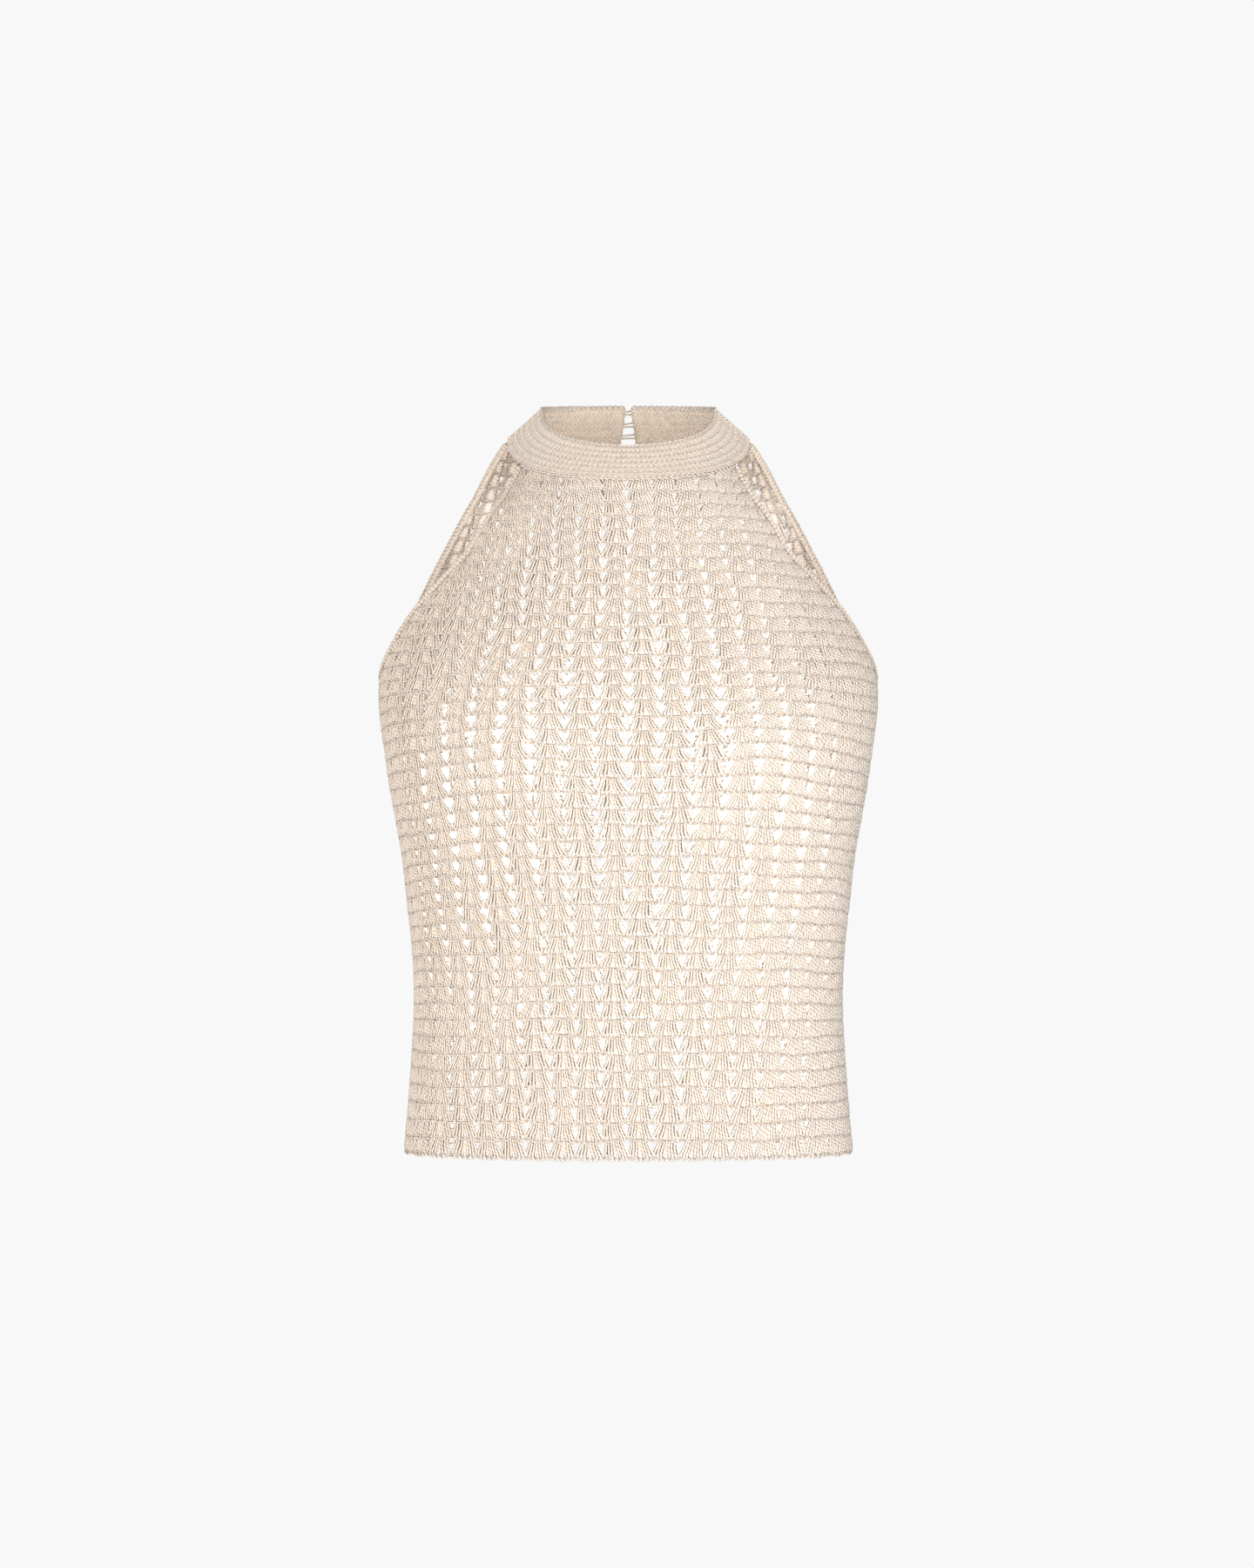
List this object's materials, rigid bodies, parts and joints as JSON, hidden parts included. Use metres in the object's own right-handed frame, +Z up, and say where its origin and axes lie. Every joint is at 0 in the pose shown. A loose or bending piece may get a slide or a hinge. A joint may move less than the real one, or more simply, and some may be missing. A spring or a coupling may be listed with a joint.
{
  "type": "crochet halter top",
  "caption": "Sleeveless high-neck halter top in cream openwork shell-stitch crochet, with a dense collar band buttoned at the centre back over a keyhole.",
  "frame": {"origin": "on the neck's axis at the collar's level, where the wearer's neck and shoulders hold the collar, 0.482 m above the hem", "axes": "+Z up from hem to collar, the front faces -Y, +X towards the wearer's left"},
  "size_m": [0.3436, 0.2273, 0.5156],
  "materials": {
    "cotton_yarn": "matte, soft",
    "button_resin": "satin"
  },
  "bodies": {
    "root": {"front_panel": "cotton_yarn", "back_panel": "cotton_yarn", "collar": "cotton_yarn", "armhole_edging_left": "cotton_yarn", "armhole_edging_right": "cotton_yarn", "keyhole_edging": "cotton_yarn", "button_1": "button_resin", "button_2": "button_resin", "button_3": "button_resin", "button_loop_1": "cotton_yarn", "button_loop_2": "cotton_yarn", "button_loop_3": "cotton_yarn"}
  },
  "joints": []
}
